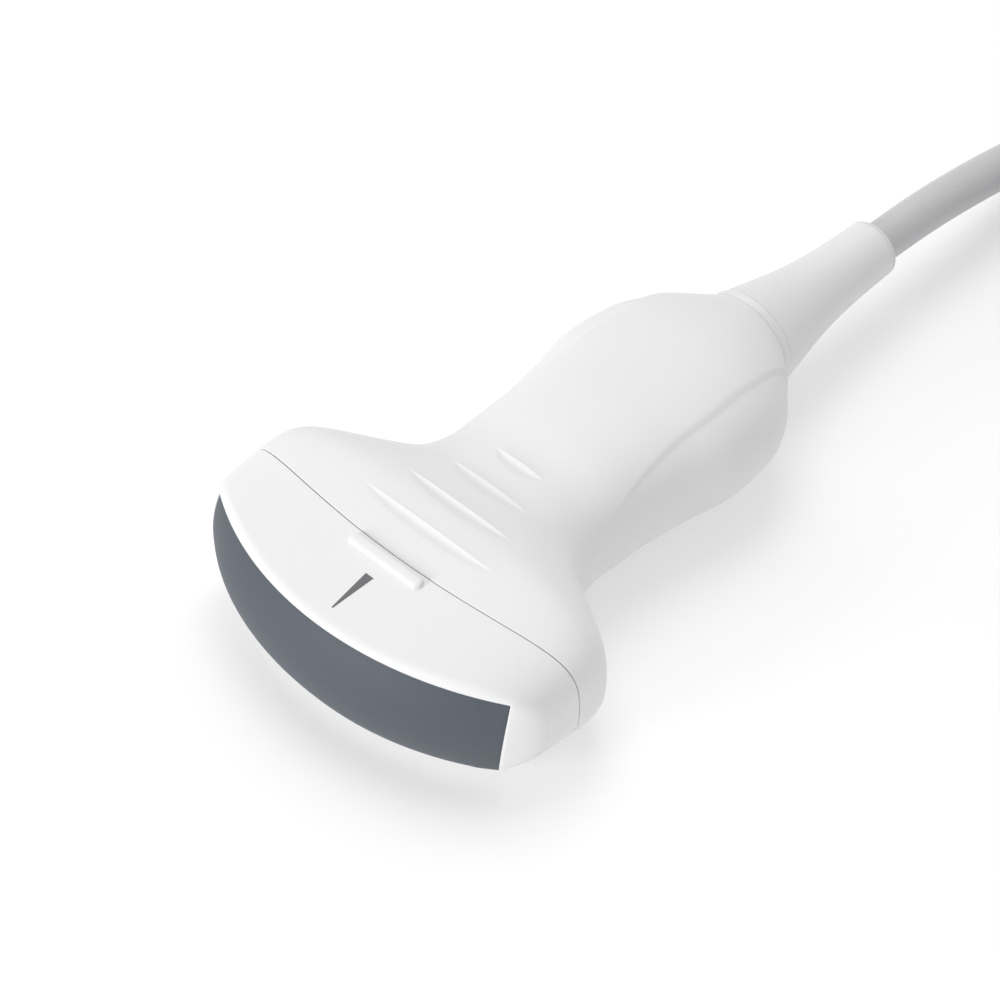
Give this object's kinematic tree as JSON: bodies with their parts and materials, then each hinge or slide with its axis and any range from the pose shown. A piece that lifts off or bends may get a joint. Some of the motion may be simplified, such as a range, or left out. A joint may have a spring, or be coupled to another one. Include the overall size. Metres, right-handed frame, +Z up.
{
  "type": "convex ultrasound transducer probe",
  "caption": "White convex abdominal ultrasound probe with a curved grey lens, waisted ribbed handle, strain-relief boot and coiled grey cable with connector.",
  "frame": {"origin": "on the table, under the middle of the probe's own box without its cord", "axes": "+X from the lens to the cable, +Z up from the table, the side with the orientation bar on top"},
  "size_m": [0.2515, 0.1292, 0.0263],
  "materials": {
    "housing_white": "smooth satin moulding",
    "lens_silicone": "satin silicone",
    "boot_elastomer": "satin elastomer",
    "cable_jacket": "satin jacket",
    "seam_sealant": "matt",
    "matching_resin": "filled resin",
    "piezo_ceramic": "diced ceramic",
    "backing_resin": "loaded resin",
    "carrier_aluminium": "machined",
    "flex_polyimide": "film",
    "board_laminate": "solder mask",
    "spacer_brass": "turned",
    "screw_steel": "plated",
    "coax_wires": "bundled fine wires",
    "tie_strap": "woven strap",
    "connector_plastic": "fine texture",
    "connector_rubber": "matt",
    "shroud_metal": "plated",
    "contact_plastic": "matt"
  },
  "bodies": {
    "root": {"nose_cap": "housing_white", "upper_handle_shell": "housing_white", "lower_handle_shell": "housing_white", "tail_collar": "housing_white", "acoustic_lens": "lens_silicone", "strain_relief_boot": "boot_elastomer", "cable": "cable_jacket", "cable_coil": "cable_jacket", "cable_inner_end": "cable_jacket", "seam_seal": "seam_sealant", "outer_matching_layer": "matching_resin", "inner_matching_layer": "matching_resin", "piezo_array": "piezo_ceramic", "backing_block": "backing_resin", "array_carrier": "carrier_aluminium", "upper_flex_circuit": "flex_polyimide", "lower_flex_circuit": "flex_polyimide", "upper_interconnect_board": "board_laminate", "lower_interconnect_board": "board_laminate", "board_spacers": "spacer_brass", "connector_contacts": "spacer_brass", "carrier_screws": "screw_steel", "board_screws": "screw_steel", "clamp_screws": "screw_steel", "cable_clamp": "screw_steel", "cable_ferrule": "screw_steel", "coax_fanout": "coax_wires", "coil_tie": "tie_strap", "connector_lower_shell": "connector_plastic", "connector_upper_shell": "connector_plastic", "connector_boot": "connector_rubber", "connector_shroud": "shroud_metal", "contact_block": "contact_plastic"}
  },
  "joints": []
}
